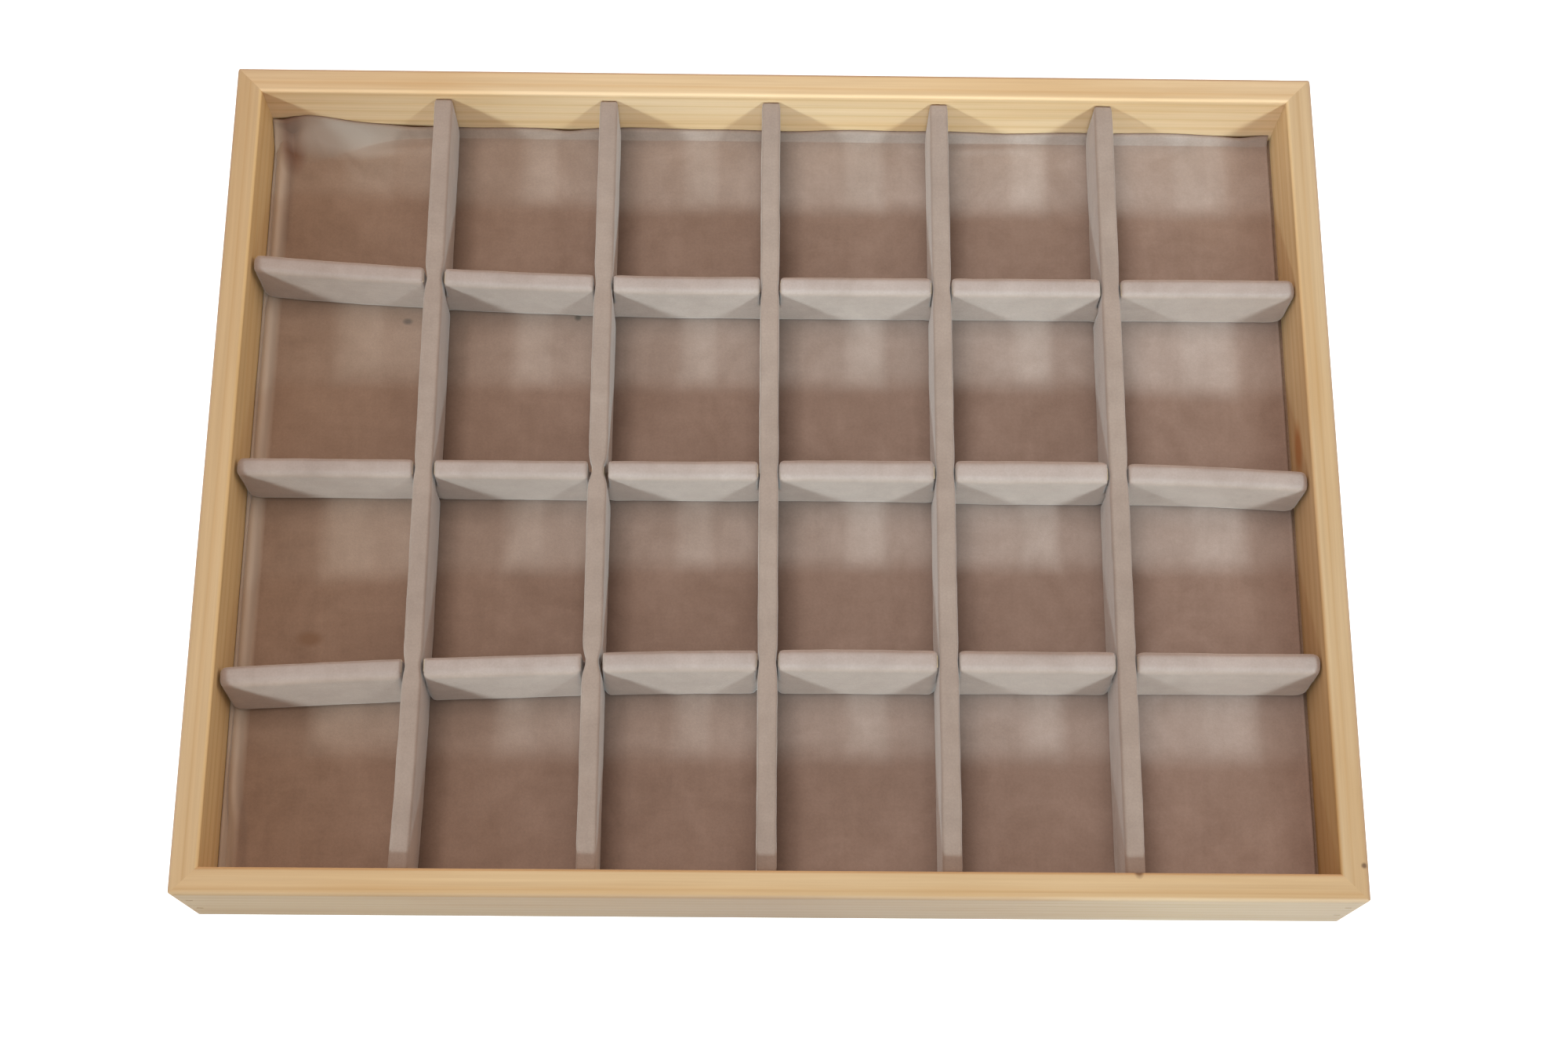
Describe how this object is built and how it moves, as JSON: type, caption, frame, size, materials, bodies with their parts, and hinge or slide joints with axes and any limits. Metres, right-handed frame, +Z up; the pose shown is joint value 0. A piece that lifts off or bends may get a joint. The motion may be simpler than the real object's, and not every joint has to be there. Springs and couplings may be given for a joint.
{
  "type": "display tray",
  "caption": "Shallow mitred pine tray with a velvet-lined floor and a lift-out egg crate of velvet-covered dividers that makes rows of open compartments.",
  "frame": {"origin": "middle of the underside, on the plane that the rails stand on", "axes": "+X along the long side to the right, +Y from the front rail to the back rail, +Z up"},
  "size_m": [0.35, 0.269, 0.038],
  "materials": {
    "pine": "planed and waxed, satin",
    "plywood": "raw birch face",
    "pad_board": "raw greyboard",
    "strip_board": "raw board edge",
    "velvet": "short-pile taupe velvet",
    "nail_steel": "bright brad"
  },
  "bodies": {
    "tray": {"front_rail": "pine", "back_rail": "pine", "left_rail": "pine", "right_rail": "pine", "corner_brads": "nail_steel", "base_panel": "plywood", "floor_pad": "pad_board", "floor_lining": "velvet"},
    "cross_dividers": {"cross_divider_1_core": "strip_board", "cross_divider_1_cover": "velvet", "cross_divider_2_core": "strip_board", "cross_divider_2_cover": "velvet", "cross_divider_3_core": "strip_board", "cross_divider_3_cover": "velvet"},
    "long_divider_1": {"long_divider_1_core": "strip_board", "long_divider_1_cover": "velvet"},
    "long_divider_2": {"long_divider_2_core": "strip_board", "long_divider_2_cover": "velvet"},
    "long_divider_3": {"long_divider_3_core": "strip_board", "long_divider_3_cover": "velvet"},
    "long_divider_4": {"long_divider_4_core": "strip_board", "long_divider_4_cover": "velvet"},
    "long_divider_5": {"long_divider_5_core": "strip_board", "long_divider_5_cover": "velvet"}
  },
  "joints": [
    {"name": "divider_set_lift", "type": "slide", "parent": "tray", "child": "cross_dividers", "axis": [0, 0, 1], "range_m": [0, 0.045]},
    {"name": "long_divider_1_lift", "type": "slide", "parent": "cross_dividers", "child": "long_divider_1", "axis": [0, 0, 1], "range_m": [0, 0.04]},
    {"name": "long_divider_2_lift", "type": "slide", "parent": "cross_dividers", "child": "long_divider_2", "axis": [0, 0, 1], "range_m": [0, 0.04]},
    {"name": "long_divider_3_lift", "type": "slide", "parent": "cross_dividers", "child": "long_divider_3", "axis": [0, 0, 1], "range_m": [0, 0.04]},
    {"name": "long_divider_4_lift", "type": "slide", "parent": "cross_dividers", "child": "long_divider_4", "axis": [0, 0, 1], "range_m": [0, 0.04]},
    {"name": "long_divider_5_lift", "type": "slide", "parent": "cross_dividers", "child": "long_divider_5", "axis": [0, 0, 1], "range_m": [0, 0.04]}
  ]
}
